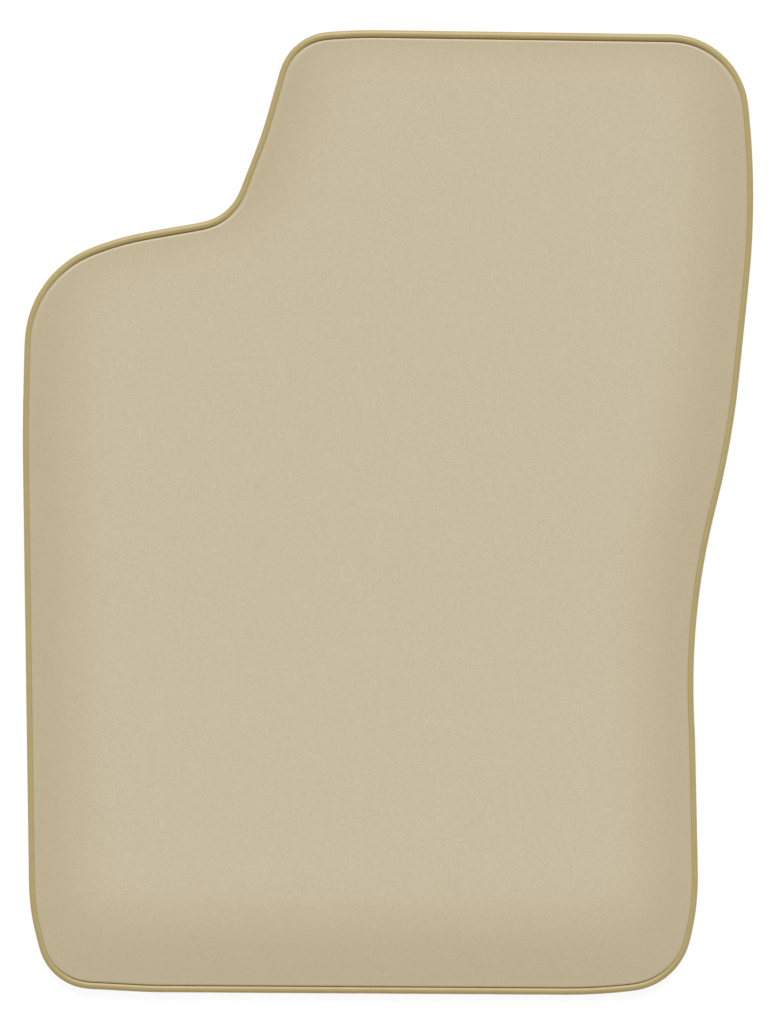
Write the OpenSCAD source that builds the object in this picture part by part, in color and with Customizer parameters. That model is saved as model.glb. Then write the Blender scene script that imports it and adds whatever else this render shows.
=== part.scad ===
// Tailored carpet floor mat for the front footwell of a vehicle, with a corded edge binding.
// Millimetres. +Y points to the front of the vehicle, +X to the right and +Z up.
// The origin is on the floor, under the middle of the mat's box. The nib tips stand on Z = 0.
//
// The mat is a stack of sheets held by one binding. From the top: the pile with its tufting cloth,
// the latex pre-coat, the stabilising fleece and the nibbed rubber backing. The binding tape goes
// round a cord. Its upper tail lies on the tufting cloth under the rim of the pile, its lower tail
// lies under the rubber, and one lockstitch seam in the ditch beside the bead goes through them all.
//
// An inset is a distance measured inwards from the outermost edge of the binding, square to it.

/* [Overall] */
// Length over everything, from the rear edge to the front edge
mat_length = 700; // [660:5:760]
// Width over everything
mat_width = 530; // [500:5:580]

/* [Front edge] */
// How far the front right corner stands in from the right side's line
front_right_in = 12.5; // [8:0.5:18]
// How far the front right corner stands back from the front
front_right_fall = 4; // [2:0.5:7]
// Radius of the front right corner
front_right_r = 57.5; // [45:0.5:60]
// From the left side to the slight bend in the front edge
front_bend_w = 245; // [235:1:270]
// Radius of the bend in the front edge
front_bend_r = 290; // [150:5:330]
// From the left side to the left corner of the front edge
nose_w = 194.5; // [190:0.5:205]
// How far the left corner of the front edge stands back from the front
nose_fall = 3.5; // [2:0.5:5]
// Radius of the left corner of the front edge
nose_r = 39; // [30:0.5:40]

/* [Wheel arch notch] */
// From the left side to the slight bend in the notch's long side
notch_bend_w = 173.5; // [171:0.5:176]
// From the front edge back to that bend
notch_bend_l = 76.5; // [70:0.5:84]
// Radius of that bend
notch_bend_r = 250; // [150:5:300]
// From the left side to the inner corner of the notch
notch_w = 150.5; // [142:0.5:160]
// From the front edge back to the inner corner of the notch
notch_l = 136; // [120:0.5:142]
// Radius of the inner corner of the notch
notch_r = 37; // [30:0.5:50]
// From the left side to the bend in the shoulder beside the notch
shoulder_bend_w = 71.5; // [66:0.5:78]
// From the front edge back to the bend in the shoulder
shoulder_bend_l = 150; // [146:0.5:156]
// Radius of the bend in the shoulder
shoulder_bend_r = 200; // [80:5:210]
// How far the corner between the shoulder and the left side stands in
shoulder_in = 3; // [1:0.5:6]
// From the front edge back to the corner between the shoulder and the left side
shoulder_l = 176; // [170:0.5:186]
// Radius of the corner between the shoulder and the left side
shoulder_r = 76; // [55:0.5:80]

/* [Left side] */
// From the front edge back to the long bend of the left side
left_bend_l = 286; // [260:1:400]
// Radius of the long bend of the left side
left_bend_r = 1500; // [800:10:2000]
// How far the left side has come in where its rear corner begins
rear_left_start_in = 5; // [3:0.5:8]
// From the rear edge forward to where the rear left corner begins
rear_left_start_l = 63; // [58:0.5:75]
// Radius where the rear left corner begins
rear_left_start_r = 145; // [60:5:170]

/* [Rear edge] */
// How far the rear left corner stands in
rear_left_in = 19.5; // [14:0.5:24]
// How far the rear left corner stands forward from the rear
rear_left_rise = 6; // [4:0.5:8]
// Radius of the rear left corner
rear_left_r = 39.5; // [30:0.5:45]
// From the left side to the slight bend in the left part of the rear edge
rear_bend_w = 93; // [86:1:110]
// How far that bend stands forward from the rear
rear_bend_rise = 2; // [1.5:0.5:3]
// Radius of that bend
rear_bend_r = 290; // [150:5:400]
// From the right side's line to the slight bend in the right part of the rear edge
rear_right_bend_w = 119; // [112:1:130]
// Radius of that bend
rear_right_bend_r = 380; // [150:5:450]
// How far the rear right corner stands in from the right side's line
rear_right_in = 57; // [53:0.5:62]
// How far the rear right corner stands forward from the rear
rear_right_rise = 6.5; // [5:0.5:8]
// Radius of the rear right corner
rear_right_r = 48; // [40:0.5:52]

/* [Right side, measured from the line through its widest corner] */
// How far the side has come in where its rear corner begins
rear_right_start_in = 43; // [41:0.5:45]
// From the rear edge forward to where the rear right corner begins
rear_right_start_l = 66.5; // [63:0.5:80]
// Radius where the rear right corner begins
rear_right_start_r = 180; // [100:5:200]
// How far the side has come in beside the seat
sill_in = 45.5; // [44:0.5:48]
// From the rear edge forward to the bend beside the seat
sill_l = 185; // [150:1:195]
// Radius of the bend beside the seat
sill_r = 600; // [300:10:800]
// How far the side has come in at the waist
waist_in = 49.5; // [46:0.5:56]
// From the front edge back to the waist
waist_l = 421; // [410:1:435]
// Radius of the side at the waist
waist_r = 515; // [200:5:530]
// How far the side has come in at the knee
knee_in = 18.5; // [14:0.5:24]
// From the front edge back to the knee
knee_l = 299.5; // [290:0.5:310]
// Radius of the side at the knee
knee_r = 655; // [300:5:670]
// From the front edge back to the widest corner
widest_l = 119; // [114:0.5:130]
// Radius of the widest corner
widest_r = 600; // [300:10:620]

/* [Sheets] */
// Height of the nibs that grip the vehicle's own carpet
nib_h = 1.6; // [1.4:0.1:3]
// Thickness of the rubber backing without its nibs
rubber_t = 1.6; // [1:0.1:3]
// Thickness of the stabilising fleece
fleece_t = 0.8; // [0.4:0.1:2]
// Thickness of the latex pre-coat that locks the tufts
precoat_t = 0.6; // [0.3:0.1:1.5]
// Thickness of the tufting cloth
cloth_t = 0.5; // [0.3:0.1:1]
// Length of the pile at its rim
pile_h = 4.8; // [3.5:0.1:9]
// How much the pile rises from its rim to its middle
pile_crown = 0.8; // [0.2:0.1:2]
// Width of the band in which the pile rises
crown_band_w = 24; // [10:1:26]
// Radius of the pile's rounded rim
pile_rim_r = 1.4; // [0.6:0.1:2]

/* [Edge binding] */
// Width of the bead, seen from above
bead_w = 5.6; // [4.8:0.1:7]
// How far the top of the bead lies below the rim of the pile
bead_drop = 0.6; // [0:0.1:1]
// Thickness of the binding tape
tape_t = 0.8; // [0.5:0.05:0.9]
// Clearance between the cord and the tape round it
cord_gap = 0.1; // [0.05:0.05:0.3]
// Width of the ditch between the bead and the pile
ditch_w = 1; // [0.8:0.1:1.6]
// How far the tape's upper tail reaches past the ditch, under the pile
tail_cover = 1.4; // [0.8:0.1:3]
// How far the tape's lower tail reaches past the seam
flap_past_seam = 4.5; // [3:0.5:8]
// Clearance beside the sheets' cut edges and over the upper tail
fit_gap = 0.2; // [0.1:0.05:0.5]

/* [Seam] */
// Distance from one stitch to the next, which the seam's length rounds a little
stitch_pitch = 6; // [5.5:0.5:8]
// Length of the thread that shows at each stitch
stitch_l = 5; // [3:0.1:5.3]
// Diameter of the sewing thread
thread_d = 0.5; // [0.3:0.05:0.6]

/* [Nibs] */
// Distance from one nib to the next
nib_pitch = 24; // [20:1:40]
// Diameter of a nib where it leaves the backing
nib_base_d = 4; // [2:0.1:6]
// Diameter of a nib's tip
nib_tip_d = 2.2; // [1:0.1:4]
// Room between the tape's lower tail and the nibs
nib_margin = 4; // [2:0.5:12]

/* [Hidden] */
$fn = 64;

chord_error = 0.08; // how far the flats that stand for an arc may lie from it
half_steps = 6;     // flats over the top of the bead and of the cord
rim_steps = 4;      // flats round the rim of the pile
crown_steps = 4;    // rings across the band in which the pile rises
nib_root = 0.2;     // how far a nib's foot goes into the sheet that it is moulded with
hub = [30, 20];     // a place that sees the whole outline, where the pile's faces close
thread_nose = 0.6;  // share of the thread's radius that is left at the ends of a stitch

// Heights above the floor, from the nibs up
rubber_z = nib_h;
fleece_z = rubber_z + rubber_t;
precoat_z = fleece_z + fleece_t;
cloth_z = precoat_z + precoat_t;
pile_z = cloth_z + cloth_t;
rim_z = pile_z + pile_h;
bead_top_z = rim_z - bead_drop;
bead_bottom_z = rubber_z - tape_t;
tail_top_z = pile_z + tape_t;

// Insets, from the outside in
bead_mid = bead_w / 2;
tape_inner = bead_w - tape_t;
sheet_inset = tape_inner + fit_gap;
pile_inset = bead_w + ditch_w;
seam_inset = bead_w + ditch_w / 2;
tail_end = pile_inset + tail_cover;
flap_end = seam_inset + flap_past_seam;
nib_inset = flap_end + nib_margin + nib_base_d / 2;

// ---- The outline: straight stretches joined by arcs ----

function unit(v) = v / norm(v);
function left_of(v) = [-v[1], v[0]];
function heading(v) = atan2(v[1], v[0]);
function polar(r, a) = r * [cos(a), sin(a)];
function total(list, i = 0) = i >= len(list) ? 0 : list[i] + total(list, i + 1);
function low(list) = [for (k = [0, 1]) min([for (p = list) p[k]])];
function high(list) = [for (k = [0, 1]) max([for (p = list) p[k]])];

// The corners as [x, y, radius], from the front right one anticlockwise, measured from the sides of
// a box. The right side's line goes through its widest corner, which lies outside the rounded mat,
// so the box is bigger than the mat by grow.
function drawn_corners(grow) =
    let (left = -mat_width / 2, right = mat_width / 2 + grow[0],
         rear = -mat_length / 2, front = mat_length / 2 + grow[1])
    [
        [right - front_right_in, front - front_right_fall, front_right_r],
        [left + front_bend_w, front, front_bend_r],
        [left + nose_w, front - nose_fall, nose_r],
        [left + notch_bend_w, front - notch_bend_l, notch_bend_r],
        [left + notch_w, front - notch_l, notch_r],
        [left + shoulder_bend_w, front - shoulder_bend_l, shoulder_bend_r],
        [left + shoulder_in, front - shoulder_l, shoulder_r],
        [left, front - left_bend_l, left_bend_r],
        [left + rear_left_start_in, rear + rear_left_start_l, rear_left_start_r],
        [left + rear_left_in, rear + rear_left_rise, rear_left_r],
        [left + rear_bend_w, rear + rear_bend_rise, rear_bend_r],
        [right - rear_right_bend_w, rear, rear_right_bend_r],
        [right - rear_right_in, rear + rear_right_rise, rear_right_r],
        [right - rear_right_start_in, rear + rear_right_start_l, rear_right_start_r],
        [right - sill_in, rear + sill_l, sill_r],
        [right - waist_in, front - waist_l, waist_r],
        [right - knee_in, front - knee_l, knee_r],
        [right, front - widest_l, widest_r]
    ];

function place(corners, i) = let (c = corners[(i + len(corners)) % len(corners)]) [c[0], c[1]];
function way_in(corners, i) = unit(place(corners, i) - place(corners, i - 1));
function way_out(corners, i) = unit(place(corners, i + 1) - place(corners, i));

// The turn at a corner in degrees: positive where the mat bulges, negative in the notch and the waist
function turn(corners, i) =
    let (u = way_in(corners, i), w = way_out(corners, i))
    atan2(u[0] * w[1] - u[1] * w[0], u * w);
function reach(corners, i) = corners[i][2] * tan(abs(turn(corners, i)) / 2);

// The share of two neighbours' radii for which the side between them has room
function room(corners, i) =
    let (n = len(corners), a = (i + n) % n, b = (i + 1) % n)
    min(1, norm(place(corners, b) - place(corners, a)) / (reach(corners, a) + reach(corners, b)) * 0.99);

// An arc is [centre, radius, side, first angle, turn, first point, last point, length of the straight after it]
function arc_at(corners, i) =
    let (radius = corners[i][2] * min(room(corners, i - 1), room(corners, i)),
         t = turn(corners, i), side = t < 0 ? -1 : 1,
         tangent = radius * tan(abs(t) / 2),
         first = place(corners, i) - way_in(corners, i) * tangent,
         last = place(corners, i) + way_out(corners, i) * tangent)
    [first + side * radius * left_of(way_in(corners, i)), radius, side,
     heading(-side * left_of(way_in(corners, i))), t, first, last];

function arcs_of(corners) =
    let (arcs = [for (i = [0:len(corners) - 1]) arc_at(corners, i)], n = len(arcs))
    [for (i = [0:n - 1]) concat(arcs[i], [norm(arcs[(i + 1) % n][5] - arcs[i][6])])];

function arc_radius(arc, inset) = arc[1] - arc[2] * inset;
function arc_length(arc, inset) = arc_radius(arc, inset) * abs(arc[4]) * PI / 180;
function on_arc(arc, inset, share) = arc[0] + polar(arc_radius(arc, inset), arc[3] + arc[4] * share);
function arc_flats(arc) = ceil(arc_length(arc, 0) / sqrt(8 * arc[1] * chord_error));

// The closed outline at an inset. It has the same number of points at every inset.
function outline_of(arcs, inset) =
    [for (arc = arcs, k = [0:arc_flats(arc)]) on_arc(arc, inset, k / arc_flats(arc))];

// Rounding takes a little off the box, so the corners are drawn again with that much added,
// and the outline is then centred on its own box
first_try = outline_of(arcs_of(drawn_corners([0, 0])), 0);
grow = [mat_width, mat_length] - (high(first_try) - low(first_try));
uncentred = outline_of(arcs_of(drawn_corners(grow)), 0);
middle = (high(uncentred) + low(uncentred)) / 2;
arcs = arcs_of([for (c = drawn_corners(grow)) [c[0] - middle[0], c[1] - middle[1], c[2]]]);
function outline(inset) = outline_of(arcs, inset);

// The place at a distance s along the outline at an inset
function along(inset, s, i = 0) =
    let (arc = arcs[i % len(arcs)], curved = arc_length(arc, inset))
    s <= curved ? on_arc(arc, inset, s / curved) :
    s <= curved + arc[7] ?
        on_arc(arc, inset, 1) + polar(s - curved, arc[3] + arc[4] + arc[2] * 90) :
    along(inset, s - curved - arc[7], i + 1);
function way_round(inset) = total([for (arc = arcs) arc_length(arc, inset) + arc[7]]);

function crosses(p, a, b) =
    (a[1] > p[1]) != (b[1] > p[1]) && p[0] < a[0] + (b[0] - a[0]) * (p[1] - a[1]) / (b[1] - a[1]);
function is_inside(p, loop) =
    len([for (i = [0:len(loop) - 1]) if (crosses(p, loop[i], loop[(i + 1) % len(loop)])) 1]) % 2 == 1;

// ---- Shapes that repeat ----

// A flat sheet cut to the outline at an inset
module sheet(inset, z, thickness) {
    translate([0, 0, z])
        linear_extrude(thickness)
            polygon(outline(inset));
}

// The triangles between two rings of n points each, which start at points a and b
function band(a, b, n) =
    [for (i = [0:n - 1], second = [false, true])
        second ? [a + i, b + (i + 1) % n, a + (i + 1) % n] : [a + i, b + i, b + (i + 1) % n]];

// The rings that a section's points draw when they are carried round the mat.
// A section is a list of [inset, height], which goes up on the mat's outer side.
function ring_points(section) = [for (s = section, p = outline(s[0])) [p[0], p[1], s[1]]];

// A closed section carried all the way round
module carry_round(section) {
    n = len(outline(0));
    polyhedron(ring_points(section),
               [for (k = [0:len(section) - 1]) each band(k * n, (k + 1) % len(section) * n, n)]);
}

// A solid whose side is an open section, from its foot to its top
module fill_inside(section) {
    n = len(outline(0));
    foot = n * len(section);
    top = foot + 1;
    last = foot - n;
    polyhedron(
        concat(ring_points(section), [[hub[0], hub[1], section[0][1]],
                                      [hub[0], hub[1], section[len(section) - 1][1]]]),
        concat([for (k = [0:len(section) - 2]) each band(k * n, (k + 1) * n, n)],
               [for (i = [0:n - 1]) [foot, i, (i + 1) % n]],
               [for (i = [0:n - 1]) [top, last + (i + 1) % n, last + i]]));
}

// Part of the bead's oval at a depth under its face. It is drawn round the upper or the lower middle.
function bead_arc(depth, upper, from, to) =
    let (steps = half_steps * abs(to - from) / 180,
         middle = [bead_mid, upper ? bead_top_z - bead_mid : bead_bottom_z + bead_mid])
    [for (k = [0:steps]) middle + polar(bead_mid - depth, from + (to - from) * k / steps)];

// One stitch of thread from a to b, with its middle at height z
module stitch(a, b, z) {
    length = norm(b - a);
    radius = thread_d / 2;
    translate([a[0], a[1], z])
        rotate([0, 90, heading(b - a)])
            rotate_extrude($fn = 16)
                polygon([[0, 0], [radius * thread_nose, 0], [radius, radius], [radius, length - radius],
                         [radius * thread_nose, length], [0, length]]);
}

// The stitches of one side of the seam, evenly spaced all the way round
module stitch_row(z) {
    count = round(way_round(seam_inset) / stitch_pitch);
    pitch = way_round(seam_inset) / count;
    for (k = [0:count - 1])
        stitch(along(seam_inset, (k + 0.5) * pitch - stitch_l / 2),
               along(seam_inset, (k + 0.5) * pitch + stitch_l / 2), z);
}

// The grip nibs, in rows, wherever the whole nib has room. One stands in the middle.
module nibs() {
    room_for_nibs = outline(nib_inset);
    row_pitch = nib_pitch * sin(60);
    rows = ceil(mat_length / 2 / row_pitch);
    columns = ceil(mat_width / 2 / nib_pitch) + 1;
    for (row = [-rows:rows], column = [-columns:columns]) {
        spot = [(column + abs(row) % 2 / 2) * nib_pitch, row * row_pitch];
        if (is_inside(spot, room_for_nibs))
            translate(spot)
                union() {
                    cylinder(h = nib_h, d1 = nib_tip_d, d2 = nib_base_d);
                    translate([0, 0, nib_h])
                        cylinder(h = nib_root, d = nib_base_d);
                }
    }
}

// ---- The mat's pieces, from the top down ----

// The pile hangs over the tape's upper tail, is rounded at its rim and rises towards its middle
module pile() {
    under_inset = tail_end + fit_gap;
    under_z = tail_top_z + fit_gap;
    rim = [for (k = [0:rim_steps]) let (a = 90 * k / rim_steps)
        [pile_inset + pile_rim_r * (1 - cos(a)), rim_z - pile_rim_r * (1 - sin(a))]];
    crown = [for (k = [1:crown_steps]) let (t = k / crown_steps)
        [pile_inset + pile_rim_r + crown_band_w * t, rim_z + pile_crown * sin(90 * t)]];
    color("#c7bba1")
        fill_inside(concat([[under_inset, pile_z], [under_inset, under_z], [pile_inset, under_z]],
                           rim, crown));
}

module tufting_cloth() {
    color("#d8d2c4")
        sheet(sheet_inset, cloth_z, cloth_t);
}

module latex_precoat() {
    color("#b9ae97")
        sheet(sheet_inset, precoat_z, precoat_t);
}

module stabilising_fleece() {
    color("#8f8a80")
        sheet(sheet_inset, fleece_z, fleece_t);
}

module rubber_backing() {
    color("#3a3a3a") {
        sheet(sheet_inset, rubber_z, rubber_t);
        nibs();
    }
}

// The tape starts under the rubber, goes round the bead and ends on the tufting cloth
module edge_tape() {
    color("#b3a271")
        carry_round(concat(
            [[flap_end, bead_bottom_z]],
            bead_arc(0, false, 270, 180),
            bead_arc(0, true, 180, 0),
            [[bead_w, tail_top_z], [tail_end, tail_top_z], [tail_end, pile_z], [tape_inner, pile_z]],
            bead_arc(tape_t, true, 0, 180),
            bead_arc(tape_t, false, 180, 270),
            [[flap_end, rubber_z]]));
}

module piping_cord() {
    color("#e6e0d2")
        carry_round(concat(bead_arc(tape_t + cord_gap, false, 360, 180),
                           bead_arc(tape_t + cord_gap, true, 180, 0)));
}

module needle_stitches() {
    color("#a8965f")
        stitch_row(tail_top_z + thread_d / 2);
}

module bobbin_stitches() {
    color("#a8965f")
        stitch_row(bead_bottom_z - thread_d / 2);
}

pile();
tufting_cloth();
latex_precoat();
stabilising_fleece();
rubber_backing();
edge_tape();
piping_cord();
needle_stitches();
bobbin_stitches();
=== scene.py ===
"""The looks of a tailored carpet floor mat with a corded edge binding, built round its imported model.

Everything is in metres in the model's own frame: +Y to the front of the vehicle, +Z up, floor at 0.
An inset is a distance inwards from the binding's outermost edge, square to it.
"""
import math

import bpy
import numpy as np
from bpy.props import FloatProperty, FloatVectorProperty, PointerProperty
from mathutils.geometry import delaunay_2d_cdt
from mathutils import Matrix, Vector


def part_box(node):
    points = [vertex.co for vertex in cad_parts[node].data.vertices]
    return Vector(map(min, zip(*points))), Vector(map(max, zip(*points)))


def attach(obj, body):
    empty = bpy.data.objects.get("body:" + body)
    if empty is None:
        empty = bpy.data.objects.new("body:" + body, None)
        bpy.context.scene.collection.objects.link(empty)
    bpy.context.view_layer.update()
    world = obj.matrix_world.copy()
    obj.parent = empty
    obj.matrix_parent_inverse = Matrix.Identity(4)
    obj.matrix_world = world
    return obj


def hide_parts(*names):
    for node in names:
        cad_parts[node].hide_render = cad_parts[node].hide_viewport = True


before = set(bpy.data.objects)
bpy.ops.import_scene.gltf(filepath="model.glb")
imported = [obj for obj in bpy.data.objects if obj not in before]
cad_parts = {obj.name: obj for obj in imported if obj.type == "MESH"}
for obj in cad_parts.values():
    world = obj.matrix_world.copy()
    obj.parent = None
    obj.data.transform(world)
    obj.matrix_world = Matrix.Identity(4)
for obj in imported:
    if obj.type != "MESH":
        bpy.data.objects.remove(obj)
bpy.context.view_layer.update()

bl_info = {
    "name": "Carpet floor mat",
    "version": (1, 0, 0),
    "blender": (4, 5, 0),
    "location": "3D View > Sidebar > Floor mat",
    "description": "Dresses a tailored floor mat with cut pile, a corded binding and a studio",
    "category": "Add Mesh",
}

BODY = "root"
MM = 0.001


# ---------------------------------------------------------------- the frame's own sizes

def span(node):
    """A node's lowest and highest corner as arrays."""
    low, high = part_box(node)
    return np.array(low), np.array(high)


def inset_of(node):
    """How far a node's sides lie inside the binding's outermost edge."""
    low, high = span(node)
    return (MAT_HIGH[0] - MAT_LOW[0] - (high[0] - low[0])) / 2


MAT_LOW, MAT_HIGH = span("edge_tape")
BEAD_BOTTOM, BEAD_TOP = MAT_LOW[2], MAT_HIGH[2]
PILE_FOOT, PILE_TOP = (corner[2] for corner in span("pile"))
SHEET_INSET = inset_of("tufting_cloth")
PILE_INSET = inset_of("pile")
HUB = 0.030 + 0.020j  # a place that sees the whole outline
FLAT = np.array([1, 1j, 0])  # points times this are complex places, seen from above
RIM_START = 20.0  # degrees at which the arc of the pile's rim begins
RIM_BELL = np.array([0.0, 0.0, 0.3, 0.6, 1.0, 1.0, 0.6, 0.3, 0.0])  # share of the painted rim highlight in the arc's rows


def rgb(name, description, default):
    """A colour property, in scene-linear values."""
    return FloatVectorProperty(name=name, description=description, default=default,
                               subtype="COLOR", size=3, min=0.0, max=1.0)


def length(name, description, default):
    """A length property."""
    return FloatProperty(name=name, description=description, default=default,
                         unit="LENGTH", precision=5, min=0.0)


class PileSettings(bpy.types.PropertyGroup):
    """Sizes and colours of the cut pile."""
    tuft_pitch: length("Tuft pitch", "Distance between neighbouring tufts", 2.2 * MM)
    tuft_relief: length("Tuft relief", "How much single tufts stand above or below the rest", 0.03 * MM)
    nap_relief: length("Nap relief", "Height of the slow waves that brushing leaves", 0.05 * MM)
    rim_rise: length("Rim rise", "How much the middle stands above the rim", 1.1 * MM)
    rim_band: length("Rim band", "Width of the band in which the pile rises", 34 * MM)
    colour: rgb("Colour", "Colour of the tufts' tips", (0.587, 0.520, 0.390))
    # root_shade_colour is painted shade: the dark seen between the fibre ends and low in the pile.
    root_shade_colour: rgb("Root colour", "Colour between the tufts", (0.350, 0.290, 0.190))
    # edge_shade_colour is painted shade: the darker tone of the tips along the binding.
    edge_shade_colour: rgb("Edge colour", "Colour of the tips near the binding", (0.486, 0.411, 0.269))
    # rim_highlight_colour is a painted highlight on the rim where it faces the light at the front.
    rim_highlight_colour: rgb("Rim colour", "Colour of the fibres' sides that show at the front rim",
                    (0.78, 0.70, 0.56))
    # edge_middle, edge_blur and edge_lean place the painted shade along the binding; at the rear, away from
    # the light, it reaches further in.
    edge_middle: length("Edge middle", "Inset at which the edge colour has half gone, at the sides", 36 * MM)
    edge_blur: length("Edge blur", "How softly the edge colour goes over into the other", 15 * MM)
    edge_lean: length("Edge lean", "How much further in the edge colour reaches at the rear", 21 * MM)


class BindingSettings(bpy.types.PropertyGroup):
    """Sizes and colours of the binding tape."""
    bead_width: length("Bead width", "Width of the bead from above", 5.6 * MM)
    tape_thickness: length("Tape thickness", "Thickness of the tape", 0.8 * MM)
    tail_reach: length("Tail reach", "Inset at which the upper tail ends", 8.0 * MM)
    flap_reach: length("Flap reach", "Inset at which the lower tail ends", 10.6 * MM)
    waviness: length("Waviness", "How much the bead swells and shrinks along the edge", 0.06 * MM)
    colour: rgb("Colour", "Main colour of the tape", (0.370, 0.286, 0.108))
    dark_colour: rgb("Dark colour", "Colour in the grain of the tape", (0.300, 0.228, 0.083))


class ThreadSettings(bpy.types.PropertyGroup):
    """Sizes and colour of the sewing threads."""
    seam_inset: length("Seam inset", "Inset of the seam", 6.1 * MM)
    stitch: length("Stitch", "Length of a stitch", 6.0 * MM)
    thickness: length("Thickness", "Diameter of the thread", 0.5 * MM)
    colour: rgb("Colour", "Colour of the thread", (0.330, 0.255, 0.115))


class StageSettings(bpy.types.PropertyGroup):
    """Floor, lights and camera."""
    floor_colour: rgb("Floor colour", "Colour of the floor", (0.16, 0.16, 0.16))
    floor_glow: FloatProperty(name="Floor glow", description="Light that the floor itself gives",
                              default=0.86)
    frame_height: length("Framed length", "Length of floor that the picture's height takes in", 0.7432)
    lens: FloatProperty(name="Lens", description="Focal length in millimetres", default=200.0)
    key_strength: FloatProperty(name="Key strength", description="Strength of the main light", default=2.5)
    key_height: FloatProperty(name="Key height", description="Angle of the main light above the floor",
                              default=math.radians(42), subtype="ANGLE")
    key_spread: FloatProperty(name="Key spread", description="Angle that the main light covers",
                              default=math.radians(30), subtype="ANGLE")
    sky: FloatProperty(name="Sky", description="Strength of the even light all round", default=0.70)


# ---------------------------------------------------------------- shapes

class Outline:
    """The mat's outline at any inset, as closed rings with as many points each.

    The tufting cloth's edge is walked round at even steps. Its flats are rounded in the spectrum by
    g (2 - g), where g is a Gaussian blur of the width soft: that leaves arcs at their radius. A ring
    at another inset lies that much further along the inward normals.
    """

    def __init__(self, step, soft=5 * MM):
        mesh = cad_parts["tufting_cloth"].data
        corners = np.empty(len(mesh.vertices) * 3)
        mesh.vertices.foreach_get("co", corners)
        corners = np.unique(corners.reshape(-1, 3)[:, :2].round(6), axis=0) @ np.array([1, 1j])
        corners = corners[np.argsort(np.angle(corners - HUB))]
        walked = np.concatenate([[0], np.cumsum(np.abs(np.diff(np.append(corners, corners[0]))))])
        self.count = int(round(walked[-1] / step))
        self.length = walked[-1]
        even = np.arange(self.count) / self.count * walked[-1]
        line = np.interp(even, walked, np.append(corners, corners[0]))
        turns = np.fft.fftfreq(self.count, walked[-1] / self.count)
        blur = np.exp(-2 * (math.pi * turns * soft) ** 2)
        spectrum = np.fft.fft(line) * blur * (2 - blur)
        self.line = np.fft.ifft(spectrum)
        along = np.fft.ifft(spectrum * 2j * math.pi * turns)
        self.normal = 1j * along / np.abs(along)

    def at(self, inset):
        """The ring at an inset, which may differ from point to point."""
        return self.line + self.normal * (inset - SHEET_INSET)

    def depth(self, places):
        """How far inside the mat's outermost edge each place lies, from the nearest outline point."""
        nearest = np.concatenate([np.abs(part[:, None] - self.line[None]).argmin(1)
                                  for part in np.array_split(places, len(places) // 4096 + 1)])
        return SHEET_INSET + np.real((places - self.line[nearest]) * np.conj(self.normal[nearest]))


def ring_points(outline, insets, heights):
    """Points of rings: insets and heights are (rings) or (rings, points) arrays."""
    insets = np.asarray(insets, float)
    heights = np.asarray(heights, float)
    if insets.ndim == 1:
        insets = insets[:, None]
    if heights.ndim == 1:
        heights = heights[:, None]
    flat = outline.at(insets)
    return np.stack([flat.real, flat.imag, np.broadcast_to(heights, flat.shape)], -1)


def band_faces(rings, count, closed=False):
    """Quads between each ring of count points and the next, and from the last to the first if closed.

    Rings run anticlockwise, and follow each other up the outer side, so the quads face outwards.
    """
    k = np.arange(rings if closed else rings - 1)[:, None]
    i = np.arange(count)[None]
    after, above = (i + 1) % count, (k + 1) % rings
    return np.stack([k * count + i, k * count + after, above * count + after, above * count + i],
                    -1).reshape(-1, 4)


def arc(middle, radius, start, end, steps):
    """Points of an arc as [inset, height], from the start angle to the end angle, in degrees."""
    angle = np.radians(np.linspace(start, end, steps + 1))
    return np.stack([middle[0] + radius * np.cos(angle), middle[1] + radius * np.sin(angle)], 1)


def waves(rng, places, count, shortest, longest):
    """A sum of sine waves of random direction, length and phase at complex places, about -1 to 1."""
    size = shortest * (longest / shortest) ** rng.random(count)
    turn = np.exp(2j * math.pi * rng.random(count))
    phase = 2 * math.pi * rng.random(count)
    total = np.zeros(np.shape(places))
    for k in range(count):
        total += np.sin(2 * math.pi * np.real(places * np.conj(turn[k])) / size[k] + phase[k])
    return total / math.sqrt(2 * count)


def round_waves(rng, outline, shortest, longest, count=24):
    """A sum of sine waves round the outline, each a whole number of times, about -1 to 1."""
    times = np.unique(np.round(outline.length / np.geomspace(longest, shortest, count)))
    place = np.arange(outline.count) / outline.count
    phase = 2 * math.pi * rng.random(len(times))
    total = np.sin(2 * math.pi * times[:, None] * place + phase[:, None]).sum(0)
    return total / math.sqrt(2 * len(times))


def build_piece(name, points, faces, material, replaced, attributes=None, uv=None):
    """Makes an object from points (n, 3) and arrays of faces, and hands it to the frame.

    attributes holds a value per point under each name, and uv a pair per corner of the faces in turn.
    """
    points = np.asarray(points, np.float32).reshape(-1, 3)
    corners = np.concatenate([f.ravel() for f in faces]).astype(np.int32)
    sides = np.concatenate([np.full(len(f), f.shape[1]) for f in faces])
    mesh = bpy.data.meshes.new(name)
    mesh.vertices.add(len(points))
    mesh.vertices.foreach_set("co", points.ravel())
    mesh.loops.add(len(corners))
    mesh.loops.foreach_set("vertex_index", corners)
    mesh.polygons.add(len(sides))
    mesh.polygons.foreach_set("loop_start", np.cumsum(sides) - sides)
    mesh.update(calc_edges=True)
    for label, values in (attributes or {}).items():
        layer = mesh.attributes.new(label, "FLOAT", "POINT")
        layer.data.foreach_set("value", np.asarray(values, np.float32).ravel())
    if uv is not None:
        mesh.uv_layers.new(name="UVMap").uv.foreach_set("vector", np.asarray(uv, np.float32).ravel())
    mesh.shade_smooth()
    mesh.materials.append(material)
    piece = bpy.data.objects.new(name, mesh)
    bpy.context.scene.collection.objects.link(piece)
    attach(piece, BODY)
    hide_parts(*replaced)
    return piece


# ---------------------------------------------------------------- finishes

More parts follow.
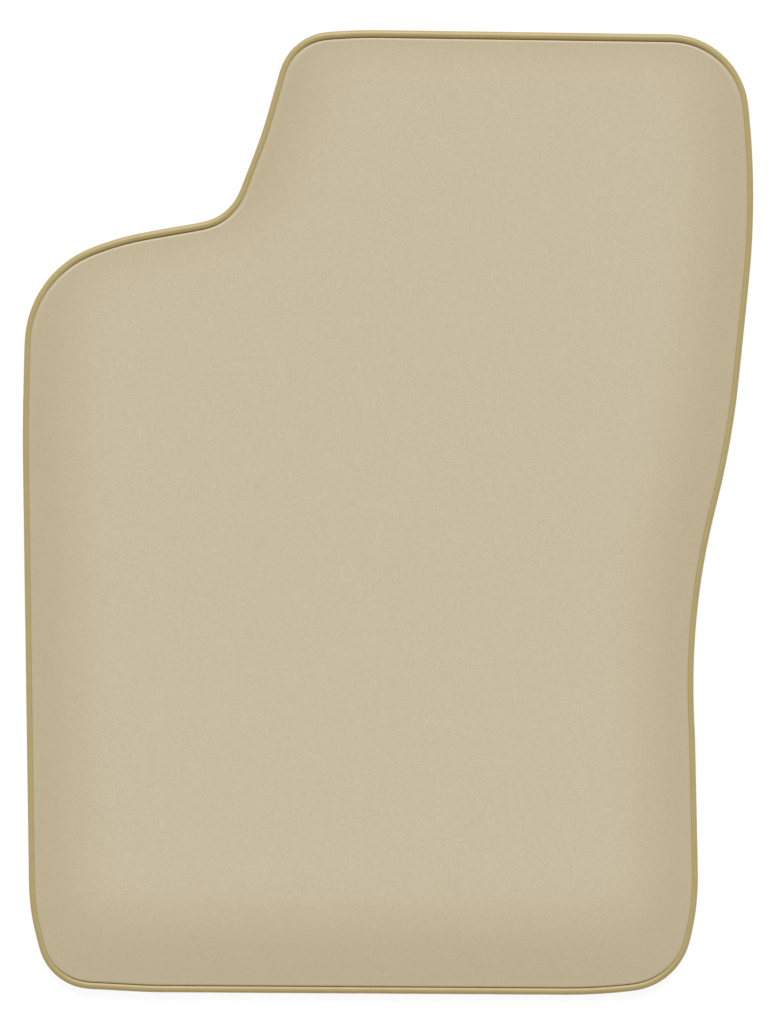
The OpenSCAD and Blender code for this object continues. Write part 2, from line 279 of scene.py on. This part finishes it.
class Finish:
    """A material with a few short ways to add nodes to it."""

    def __init__(self, name, **sockets):
        self.material = bpy.data.materials.new(name)
        self.material.use_nodes = True
        self.tree = self.material.node_tree
        self.shader = self.tree.nodes["Principled BSDF"]
        for label, value in sockets.items():
            self.shader.inputs[label.replace("_", " ")].default_value = value

    def node(self, kind, inputs=None, **settings):
        """A new node. inputs gives a value or another node's output for each named socket."""
        made = self.tree.nodes.new("ShaderNode" + kind)
        for label, value in settings.items():
            setattr(made, label, value)
        for label, value in (inputs or {}).items():
            if isinstance(value, bpy.types.NodeSocket):
                self.tree.links.new(value, made.inputs[label])
            else:
                made.inputs[label].default_value = value
        return made

    def place(self, stretch=(1, 1, 1), source="Object"):
        """Object or UV coordinates, stretched."""
        coordinates = self.node("TexCoord").outputs[source]
        return self.node("Mapping", {"Vector": coordinates, "Scale": stretch}).outputs["Vector"]

    def noise(self, place, size, detail=2.0, roughness=0.5):
        """Noise of a size in metres, from 0 to 1."""
        return self.node("TexNoise", {"Vector": place, "Scale": 1 / size, "Detail": detail,
                                      "Roughness": roughness}).outputs["Fac"]

    def cells(self, place, size):
        """The outputs of cells of a size in metres: Distance is from a cell's middle, Color its own."""
        return self.node("TexVoronoi", {"Vector": place, "Scale": 1 / size}).outputs

    def warp(self, place, size, far):
        """The place with a random shift, up to far, that changes over a size in metres."""
        colour = self.node("TexNoise", {"Vector": place, "Scale": 1 / size, "Detail": 1.0}).outputs["Color"]
        shift = self.node("VectorMath", {0: colour, "Scale": far}, operation="SCALE").outputs["Vector"]
        return self.node("VectorMath", {0: place, 1: shift}, operation="ADD").outputs["Vector"]

    def ramp(self, value, low, high, to_low=0.0, to_high=1.0):
        """Maps low to high onto to_low to to_high, and holds it there."""
        return self.node("MapRange", {"Value": value, "From Min": low, "From Max": high,
                                      "To Min": to_low, "To Max": to_high}).outputs["Result"]

    def mix(self, share, first, second):
        """A mix of two colours, where share says how much of the second."""
        made = self.node("Mix", data_type="RGBA")
        for socket, value in ((made.inputs[0], share), (made.inputs[6], first), (made.inputs[7], second)):
            if isinstance(value, bpy.types.NodeSocket):
                self.tree.links.new(value, socket)
            else:
                socket.default_value = value if isinstance(value, float) else (*value, 1)
        return made.outputs[2]

    def math(self, operation, first, second):
        """One arithmetic step on two values."""
        return self.node("Math", {0: first, 1: second}, operation=operation).outputs[0]

    def red(self, colour):
        """A colour's red part, as a value that each cell has at random."""
        return self.node("SeparateColor", {"Color": colour}).outputs["Red"]

    def attribute(self, name):
        """A value that each point of the mesh carries."""
        return self.node("Attribute", attribute_name=name).outputs["Fac"]

    def colour(self, value):
        """Links a colour to the shader."""
        self.tree.links.new(value, self.shader.inputs["Base Color"])

    def roughness(self, value):
        """Links a roughness to the shader."""
        self.tree.links.new(value, self.shader.inputs["Roughness"])

    def bumps(self, *layers):
        """Bumps on top of each other. Each layer is a height from 0 to 1 and how tall 1 is, in metres."""
        normal = None
        for height, tall in layers:
            inputs = {"Height": height, "Distance": tall, "Strength": 1.0}
            if normal is not None:
                inputs["Normal"] = normal
            normal = self.node("Bump", inputs).outputs["Normal"]
        self.tree.links.new(normal, self.shader.inputs["Normal"])


def pile_finish(look):
    """Cut pile: the cut ends of single fibres, each of its own tone, with painted shade in the dark gaps
    between them.
    """
    finish = Finish("beige cut pile", Roughness=0.95, Specular_IOR_Level=0.12, Sheen_Weight=0.22,
                    Sheen_Roughness=0.45, Sheen_Tint=(1.0, 0.95, 0.86, 1.0))
    fibre, bunch, stroke = 0.26 * MM, 1.3 * MM, 9 * MM
    place = finish.place()
    ends = finish.cells(finish.warp(place, 0.8 * MM, 0.5 * MM), fibre)
    bunches = finish.noise(place, bunch)
    brushed = finish.noise(finish.place((1.0, 0.35, 1.0)), stroke, 3.0)
    # gaps: painted shade between the fibre ends, with each fibre's own random tone added.
    gaps = finish.math("ADD", finish.ramp(ends["Distance"], 0.30, 0.75, 0.0, 0.65),
                       finish.ramp(finish.red(ends["Color"]), 0.0, 1.0, 0.0, 0.18))
    # Near the binding the tips go over into edge_shade_colour: painted shade.
    tips = finish.mix(finish.attribute("edge"), look.colour, look.edge_shade_colour)
    # At the front rim the colour goes over into rim_highlight_colour: painted highlight.
    toned = finish.mix(finish.attribute("rim"), finish.mix(gaps, tips, look.root_shade_colour), look.rim_highlight_colour)
    # shade: painted shade where tufts and bunches sit lower, plus a faint tone along the brushing.
    shade = finish.math("ADD", finish.ramp(finish.attribute("tuft"), -1.5, 1.5, 0.05, 0.0),
                        finish.math("ADD", finish.ramp(brushed, 0.35, 0.65, 0.0, 0.02),
                                    finish.ramp(bunches, 0.3, 0.7, 0.15, 0.0)))
    finish.colour(finish.mix(shade, toned, look.root_shade_colour))
    finish.bumps((brushed, 0.05 * MM), (bunches, 0.11 * MM), (ends["Distance"], -0.07 * MM))
    return finish.material


def binding_finish(look):
    """Satin tan binding tape with a fine grain along its length."""
    finish = Finish("tan binding tape", Roughness=0.45, Specular_IOR_Level=0.5, Coat_Weight=0.26,
                    Coat_Roughness=0.4, Coat_IOR=1.5)
    place = finish.place(source="UV")
    grain = finish.noise(finish.place((0.45, 1.0, 1.0), "UV"), 0.5 * MM, 4.0, 0.6)
    pores = finish.cells(place, 0.55 * MM)["Distance"]
    patches = finish.noise(place, 14 * MM)
    shade = finish.math("ADD", finish.ramp(grain, 0.35, 0.7, 0.35, 0.0),
                        finish.ramp(patches, 0.4, 0.7, 0.2, 0.0))
    finish.colour(finish.mix(shade, look.colour, look.dark_colour))
    finish.roughness(finish.ramp(grain, 0.3, 0.7, 0.50, 0.40))
    finish.bumps((grain, 0.045 * MM), (pores, -0.03 * MM))
    return finish.material


def thread_finish(look):
    """Sewing thread: slanted plies, one to each twist of its length, with fine fibres."""
    finish = Finish("tan sewing thread", Roughness=0.55, Specular_IOR_Level=0.4, Sheen_Weight=0.15)
    place = finish.place(source="UV")
    twist = 0.9 * MM
    plies = finish.node("TexWave", {"Vector": place, "Scale": math.pi / (5 * twist), "Distortion": 0.0},
                        bands_direction="DIAGONAL").outputs["Fac"]
    fibres = finish.noise(place, 0.12 * MM)
    # dark: painted shade in the grooves between the plies.
    dark = tuple(0.6 * c for c in look.colour)
    finish.colour(finish.mix(finish.ramp(plies, 0.0, 0.6, 0.8, 0.0), look.colour, dark))
    finish.bumps((plies, 0.06 * MM), (fibres, 0.01 * MM))
    return finish.material


def grained_finish(name, light, dark, size, tall, stretch=(1, 1, 1), **sockets):
    """A plain finish with grain: two tones and bumps of a size."""
    finish = Finish(name, **sockets)
    place = finish.place(stretch)
    grain = finish.noise(place, size, 4.0, 0.6)
    finish.colour(finish.mix(finish.ramp(grain, 0.35, 0.65), dark, light))
    finish.bumps((grain, tall), (finish.cells(place, size / 2)["Distance"], -tall / 3))
    return finish.material


def woven_finish(name, light, dark, pitch, **sockets):
    """A plain weave: threads along X and along Y that cross over and under."""
    finish = Finish(name, **sockets)
    place = finish.place()
    scale = math.pi / (10 * pitch)
    weft, warp = (finish.node("TexWave", {"Vector": place, "Scale": scale, "Distortion": 0.4},
                              bands_direction=way).outputs["Fac"] for way in "XY")
    weave = finish.math("MULTIPLY", weft, warp)
    # Darker where the threads dip between crossings: painted shade.
    finish.colour(finish.mix(finish.ramp(weave, 0.0, 0.5), dark, light))
    finish.bumps((weave, 0.15 * MM), (finish.noise(place, 0.3 * MM), 0.03 * MM))
    return finish.material


# ---------------------------------------------------------------- pieces

def pile_profile(look, outline):
    """The pile's side from its foot to its rim's end: insets and heights, each (rings, points).

    The foot stands inside the tape's tail. The lip leans out over the seam. Along the mat's sides it
    rests on the bead, and at the front and rear it stands further in and lower, most so at the front.
    From the lip the rim rises to the top along an arc, which is shorter and steeper there.
    """
    foot, under = PILE_INSET + 1.6 * MM, BEAD_TOP - 2.6 * MM
    inner = np.array([[foot, PILE_FOOT], [foot, under], [foot - 1.2 * MM, under],
                      [foot - 2.0 * MM, under + 0.05 * MM]])
    sideways, ahead = outline.normal.real ** 2, -outline.normal.imag

    def around(mean, sides, front):
        """A size round the outline: the mean of front and rear, and what sides and front add to it."""
        return MM * (mean + sides * sideways + front * ahead)

    lip, lip_height = PILE_INSET - around(1.05, 1.30, -0.21), BEAD_TOP - around(1.06, -0.66, 0.50)
    end, end_height = PILE_INSET + around(0.50, 1.75, 0.40), PILE_TOP - look.rim_rise
    lift = np.radians(np.linspace(0, 1, len(RIM_BELL)) * (90 - RIM_START) + RIM_START)[:, None]
    low = math.radians(RIM_START)
    insets = end - (end - lip) * np.cos(lift) / math.cos(low)
    heights = lip_height + (end_height - lip_height) * (np.sin(lift) - math.sin(low)) / (1 - math.sin(low))
    along = np.ones(outline.count)
    return (np.concatenate([inner[:, :1] * along, insets]),
            np.concatenate([inner[:, 1:] * along, heights]))


def painted_rim_highlight(outline, rows, first, most=0.26):
    """Each ring point's share of the painted rim highlight: a bell along the arc, which begins at row first.

    It is most at the front, where the rim faces the light, and fades along the sides by
    the fourth power of how far the outline faces ahead.
    """
    ahead = 0.5 - 0.5 * outline.normal.imag
    light = np.zeros((rows, outline.count))
    light[first:first + len(RIM_BELL)] = RIM_BELL[:, None] * most * ahead ** 4
    return light.ravel()


def fill_ring(ring, inner):
    """Triangles of the flat area inside a ring of complex points, through inner points too.

    Numbers follow the ring first and then the inner points, which line the ring closely, so a
    triangle between three ring points lies outside it and is left out.
    """
    places = np.concatenate([ring, inner])
    count = len(ring)
    edges = np.stack([np.arange(count), (np.arange(count) + 1) % count], 1).tolist()
    flat = [(p.real, p.imag) for p in places.tolist()]
    inside, nearness = 1, 1e-9
    made = delaunay_2d_cdt(flat, edges, [], inside, nearness, True)
    first = np.array([origin[0] for origin in made[3]])
    triangles = first[np.array(made[2])]
    a, b, c = (places[triangles[:, k]] for k in range(3))
    turned = np.imag(np.conj(b - a) * (c - a)) < 0
    triangles[turned] = triangles[turned][:, ::-1]
    return triangles[(triangles >= count).any(1)]


def painted_edge_shade(outline, places, look, step=5 * MM):
    """Painted shade along the binding: 1 near the binding and 0 in the middle, 1 less a blurred picture of
    the mat's inner area.

    The inner area is what lies deeper than edge_middle. It is drawn on a grid, moved forward by
    edge_lean, so the painted shade reaches further in at the rear, away from the light, and blurred by a
    Gaussian of the width edge_blur, both in its spectrum.
    """
    room = look.edge_middle + 4 * look.edge_blur
    corner = (MAT_LOW[0] - room) + 1j * (MAT_LOW[1] - room)
    wide, long = (int((MAT_HIGH[k] - MAT_LOW[k] + 2 * room) / step) + 1 for k in (0, 1))
    x, y = np.meshgrid(np.arange(wide), np.arange(long))
    inner = (outline.depth((corner + step * (x + 1j * y)).ravel()) - look.edge_middle) / step + 0.5
    across, along = np.fft.fftfreq(wide, step)[None], np.fft.fftfreq(long, step)[:, None]
    blur = np.exp(-2 * (math.pi * look.edge_blur) ** 2 * (across ** 2 + along ** 2)
                  - 2j * math.pi * along * look.edge_lean)
    picture = np.fft.ifft2(np.fft.fft2(inner.clip(0, 1).reshape(long, wide)) * blur).real
    spot = (places - corner) / step
    i, j = spot.real.astype(int), spot.imag.astype(int)
    u, v = spot.real - i, spot.imag - j
    return 1 - ((picture[j, i] * (1 - u) + picture[j, i + 1] * u) * (1 - v)
                + (picture[j + 1, i] * (1 - u) + picture[j + 1, i + 1] * u) * v)


class FLOORMAT_OT_pile(bpy.types.Operator):
    """Build the cut pile over the whole mat"""
    bl_idname = "floormat.pile"
    bl_label = "Pile"

    def execute(self, context):
        look = context.scene.mat_pile
        rng = np.random.default_rng(11)
        outline = Outline(look.tuft_pitch)
        insets, heights = pile_profile(look, outline)
        arc_row = len(insets) - len(RIM_BELL)
        rim_end, rim_top = insets[-1, 0], heights[-1, 0]  # at the outline's first point
        bands = look.tuft_pitch * np.arange(1, 3)[:, None]
        insets = np.concatenate([insets, insets[-1] + bands])
        heights = np.concatenate([heights, np.repeat(heights[-1:], len(bands), 0)])
        rings = ring_points(outline, insets, heights)
        inner = self.tufts(rng, outline, look.tuft_pitch, insets[-1, 0] + 0.6 * look.tuft_pitch)
        points = np.concatenate([rings.reshape(-1, 3),
                                 np.stack([inner.real, inner.imag, np.full(len(inner), rim_top)], 1)])
        places = points @ FLAT
        # edge: share of the painted shade along the binding.
        values = {"edge": painted_edge_shade(outline, places, look),
                  # rim: share of the painted highlight on the front rim.
                  "rim": np.append(painted_rim_highlight(outline, len(insets), arc_row), np.zeros(len(inner))),
                  # tuft: each tuft's height, by which the lower ones get painted shade.
                  "tuft": self.lift(look, rng, points, outline.depth(places) - rim_end, rim_top)}
        points = np.concatenate([points, [[HUB.real, HUB.imag, PILE_FOOT]]])
        piece = build_piece("cut_pile", points, self.faces(outline, len(insets), rings[-1] @ FLAT, inner),
                            pile_finish(look), ["pile"],
                            {name: np.append(value, 0.0) for name, value in values.items()})
        return {"FINISHED"}

    def lift(self, look, rng, points, behind, rim_top):
        """Lifts the points by how far they lie behind the rim's end, and returns their tufts' heights.

        The top rises by rim_rise along a quarter of a sine wave. Single tufts and the slow waves that
        brushing leaves are added to it, and fade out over the rim.
        """
        tuft = rng.normal(size=len(points))
        nap = waves(rng, points @ FLAT, count=14, shortest=18 * MM, longest=140 * MM)
        lead, fade = 0.8 * MM, 3 * MM
        on_top = np.clip((behind + lead) / fade, 0, 1)
        inside_rim = points[:, 2] > rim_top - MM / 100
        rise = np.clip(behind / look.rim_band, 0, 1)
        points[:, 2] += look.rim_rise * np.sin(rise * math.pi / 2) * inside_rim
        points[:, 2] += on_top * (look.tuft_relief * tuft + look.nap_relief * nap)
        return tuft * on_top

    def faces(self, outline, rows, ring, inner):
        """Quads between the rings, triangles through the tufts, and a fan round the hub underneath."""
        first = (rows - 1) * outline.count
        hub = first + outline.count + len(inner)
        cap = first + fill_ring(ring, inner)
        around = np.arange(outline.count)
        foot = np.stack([np.full(outline.count, hub), (around + 1) % outline.count, around], 1)
        return [band_faces(rows, outline.count), cap, foot]

    def tufts(self, rng, outline, pitch, inset, scatter=0.18):
        """Tufts in staggered rows, each a little off its place, wherever they lie deeper than inset."""
        low, high = MAT_LOW[:2], MAT_HIGH[:2]
        x, y = np.meshgrid(np.arange(low[0], high[0], pitch),
                           np.arange(low[1], high[1], pitch * math.sin(math.radians(60))))
        x = x + pitch / 2 * (np.arange(len(x)) % 2)[:, None]
        places = (x + 1j * y).ravel()
        off = rng.normal(size=len(places)) + 1j * rng.normal(size=len(places))
        places = places + scatter * pitch * off
        return places[outline.depth(places) > inset]


class FLOORMAT_OT_binding(bpy.types.Operator):
    """Build the binding tape round the mat's edge"""
    bl_idname = "floormat.binding"
    bl_label = "Binding"

    def execute(self, context):
        look = context.scene.mat_binding
        rng = np.random.default_rng(23)
        outline = Outline(step=2 * MM)
        face, back = self.profile(look)
        swell = look.waviness * round_waves(rng, outline, shortest=9 * MM, longest=160 * MM)
        sides = np.gradient(face, axis=0)
        sides /= np.linalg.norm(sides, axis=1)[:, None]
        fade, most_out = 1.5 * MM, 0.02 * MM
        above_flap = face[:, 1] > BEAD_BOTTOM + MM / 2
        on_bead = np.clip((look.bead_width - face[:, 0]) / fade, 0, 1) * above_flap
        moved = np.minimum(on_bead[:, None] * swell[None], most_out)  # square to the bead's face
        inside = np.repeat(back[:, :, None], outline.count, 2)
        insets = np.concatenate([face[:, :1] - sides[:, 1:] * moved, inside[:, 0]])
        heights = np.concatenate([face[:, 1:] + sides[:, :1] * moved, inside[:, 1]])
        points = ring_points(outline, insets, heights)
        whole = np.concatenate([face, back, face[:1]])
        over = np.concatenate([[0], np.cumsum(np.linalg.norm(np.diff(whole, axis=0), axis=1))])
        build_piece("binding_tape", points, [band_faces(len(points), outline.count, True)],
                    binding_finish(look), ["edge_tape"],
                    uv=wrapped_uv(outline, over))
        return {"FINISHED"}

    def profile(self, look):
        """The tape's outer face, from its flap over the bead to its tail, and its inner face back."""
        radius, thick = look.bead_width / 2, look.tape_thickness
        low, high = (radius, BEAD_BOTTOM + radius), (radius, BEAD_TOP - radius)
        tail = PILE_FOOT + thick
        flap = np.stack([np.linspace(look.flap_reach, radius, 5, endpoint=False),
                         np.full(5, BEAD_BOTTOM)], 1)
        flank = np.stack([np.full(4, look.bead_width), np.linspace(high[1], tail, 5)[1:]], 1)
        top = np.stack([np.linspace(look.bead_width, look.tail_reach, 4)[1:], np.full(3, tail)], 1)
        face = np.concatenate([flap, arc(low, radius, 270, 180, 10), arc(high, radius, 180, 0, 26),
                               flank, top])
        back = np.concatenate([[[look.tail_reach, PILE_FOOT], [look.bead_width - thick, PILE_FOOT]],
                               arc(high, radius - thick, 0, 180, 10), arc(low, radius - thick, 180, 270, 5),
                               [[look.flap_reach, BEAD_BOTTOM + thick]]])
        return face, back


def wrapped_uv(outline, over):
    """UV in metres for rings closed both ways: u along the outline and v across the profile."""
    k, i = np.meshgrid(np.arange(len(over) - 1), np.arange(outline.count), indexing="ij")
    step = outline.length / outline.count
    u = np.stack([i, i + 1, i + 1, i], -1) * step
    v = np.stack([over[k], over[k], over[k + 1], over[k + 1]], -1)
    return np.stack([u, v], -1)


class FLOORMAT_OT_threads(bpy.types.Operator):
    """Build the needle thread and the bobbin thread of the seam"""
    bl_idname = "floormat.threads"
    bl_label = "Threads"

    def execute(self, context):
        look = context.scene.mat_thread
        finish = thread_finish(look)
        tail = PILE_FOOT + context.scene.mat_binding.tape_thickness
        for name, node, level, way in (("needle_thread", "needle_stitches", tail, 1),
                                       ("bobbin_thread", "bobbin_stitches", BEAD_BOTTOM, -1)):
            self.thread(look, finish, name, node, level, way)
        return {"FINISHED"}

    def thread(self, look, finish, name, node, level, way, sides=8):
        """A round thread along the seam that dips through the tape at the end of each stitch.

        Its middle lies a radius off the tape's face. At each hole it dips by deep times the radius,
        in a bell of the width hole.
        """
        radius, hole, deep = look.thickness / 2, 0.55 * MM, 1.7
        outline = Outline(step=0.5 * MM)
        path = outline.at(look.seam_inset)
        walked = np.cumsum(np.abs(np.diff(np.append(path, path[0]))))
        stitches = round(walked[-1] / look.stitch)
        share = (walked / walked[-1] * stitches) % 1 - 0.5
        dip = np.exp(-(share * look.stitch / hole) ** 2)
        middle = level + way * radius * (1 - deep * dip)
        angle = np.radians(np.linspace(270, -90, sides, endpoint=False))[:, None]
        points = ring_points(outline, look.seam_inset + radius * np.cos(angle),
                             middle + radius * np.sin(angle))
        over = np.linspace(0, 2 * math.pi * radius, sides + 1)
        build_piece(name, points, [band_faces(sides, outline.count, True)], finish, [node],
                    uv=wrapped_uv(outline, over))


class FLOORMAT_OT_backing(bpy.types.Operator):
    """Give the backing, the inner sheets and the cord their finishes"""
    bl_idname = "floormat.backing"
    bl_label = "Backing and inside"

    def execute(self, context):
        finishes = {
            "rubber_backing": grained_finish(
                "black nibbed rubber", (0.030, 0.030, 0.031), (0.018, 0.018, 0.019), 0.7 * MM, 0.10 * MM,
                Roughness=0.72, Specular_IOR_Level=0.35),
            "stabilising_fleece": grained_finish(
                "grey fleece", (0.30, 0.28, 0.25), (0.17, 0.16, 0.14), 1.1 * MM, 0.15 * MM,
                Roughness=0.95, Sheen_Weight=0.2),
            "latex_precoat": grained_finish(
                "dried latex", (0.52, 0.46, 0.34), (0.42, 0.36, 0.25), 2.5 * MM, 0.08 * MM,
                Roughness=0.6),
            "tufting_cloth": woven_finish(
                "woven tufting cloth", (0.70, 0.65, 0.55), (0.42, 0.37, 0.28), 0.9 * MM, Roughness=0.9),
            "piping_cord": grained_finish(
                "filler cord", (0.78, 0.74, 0.66), (0.56, 0.51, 0.43), 0.8 * MM, 0.15 * MM,
                (1.0, 0.4, 1.0), Roughness=0.9, Sheen_Weight=0.2),
        }
        for node, finish in finishes.items():
            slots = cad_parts[node].data.materials
            slots.clear()
            slots.append(finish)
        return {"FINISHED"}


# ---------------------------------------------------------------- stage

class FLOORMAT_OT_stage(bpy.types.Operator):
    """Build the floor, the lights and the camera above the mat"""
    bl_idname = "floormat.stage"
    bl_label = "Stage"

    def execute(self, context):
        look = context.scene.mat_stage
        self.floor(look)
        self.lights(context.scene, look)
        self.camera(context.scene, look)
        return {"FINISHED"}

    def floor(self, look, half=6.0, dimming=0.985):
        """A plain floor whose top is at 0, with a faint grain."""
        mesh = bpy.data.meshes.new("floor")
        corners = [(-half, -half, 0), (half, -half, 0), (half, half, 0), (-half, half, 0)]
        mesh.from_pydata(corners, [], [(0, 1, 2, 3)])
        finish = Finish("pale floor", Roughness=0.9, Specular_IOR_Level=0.0,
                        Emission_Color=(1.0, 1.0, 1.0, 1.0), Emission_Strength=look.floor_glow)
        grain = finish.noise(finish.place(), 3 * MM)
        dimmed = tuple(dimming * c for c in look.floor_colour)
        finish.colour(finish.mix(grain, look.floor_colour, dimmed))
        mesh.materials.append(finish.material)
        floor = bpy.data.objects.new("floor", mesh)
        bpy.context.scene.collection.objects.link(floor)

    def lights(self, scene, look, away=2.0):
        """A wide soft light from beyond the mat's front, and even light from the sky."""
        lamp = bpy.data.lights.new("key", "SUN")
        lamp.energy, lamp.angle = look.key_strength, look.key_spread
        key = bpy.data.objects.new("key", lamp)
        key.location = (0.0, away * math.cos(look.key_height), away * math.sin(look.key_height))
        key.rotation_euler = (look.key_height - math.pi / 2, 0.0, 0.0)
        scene.collection.objects.link(key)
        world = bpy.data.worlds.new("sky")
        world.use_nodes = True
        sky = world.node_tree.nodes["Background"]
        sky.inputs["Color"].default_value = (1.0, 1.0, 1.0, 1.0)
        sky.inputs["Strength"].default_value = look.sky
        scene.world = world
        scene.view_settings.view_transform = "Standard"
        scene.view_settings.look = "None"

    def camera(self, scene, look, forward=0.3 * MM):
        """A camera straight above, with the vehicle's front at the top of the picture."""
        lens = bpy.data.cameras.new("camera")
        lens.lens, lens.sensor_width = look.lens, 36.0
        lens.clip_start, lens.clip_end = 0.05, 50.0
        camera = bpy.data.objects.new("camera", lens)
        level = (MAT_LOW[2] + MAT_HIGH[2]) / 2
        camera.location = (0.0, forward, level + look.frame_height * look.lens / lens.sensor_width)
        scene.collection.objects.link(camera)
        scene.camera = camera


class FLOORMAT_PT_panel(bpy.types.Panel):
    """Lists the mat's pieces and their settings"""
    bl_label = "Floor mat"
    bl_idname = "FLOORMAT_PT_panel"
    bl_space_type = "VIEW_3D"
    bl_region_type = "UI"
    bl_category = "Floor mat"

    def draw(self, context):
        for operator, settings in PIECES:
            box = self.layout.box()
            box.operator(operator.bl_idname)
            if settings:
                group = getattr(context.scene, settings)
                for name in group.__annotations__:
                    box.prop(group, name)


PIECES = (
    (FLOORMAT_OT_pile, "mat_pile"),
    (FLOORMAT_OT_binding, "mat_binding"),
    (FLOORMAT_OT_threads, "mat_thread"),
    (FLOORMAT_OT_backing, ""),
    (FLOORMAT_OT_stage, "mat_stage"),
)
SETTINGS = {"mat_pile": PileSettings, "mat_binding": BindingSettings, "mat_thread": ThreadSettings,
            "mat_stage": StageSettings}


def register():
    for name, settings in SETTINGS.items():
        bpy.utils.register_class(settings)
        setattr(bpy.types.Scene, name, PointerProperty(type=settings))
    for operator, _ in PIECES:
        bpy.utils.register_class(operator)
    bpy.utils.register_class(FLOORMAT_PT_panel)


def unregister():
    bpy.utils.unregister_class(FLOORMAT_PT_panel)
    for operator, _ in reversed(PIECES):
        bpy.utils.unregister_class(operator)
    for name, settings in reversed(SETTINGS.items()):
        delattr(bpy.types.Scene, name)
        bpy.utils.unregister_class(settings)


def main():
    """Registers the add-on and builds every piece and the stage."""
    register()
    for operator, _ in PIECES:
        family, name = operator.bl_idname.split(".")
        getattr(getattr(bpy.ops, family), name)()


if __name__ == "__main__":
    main()
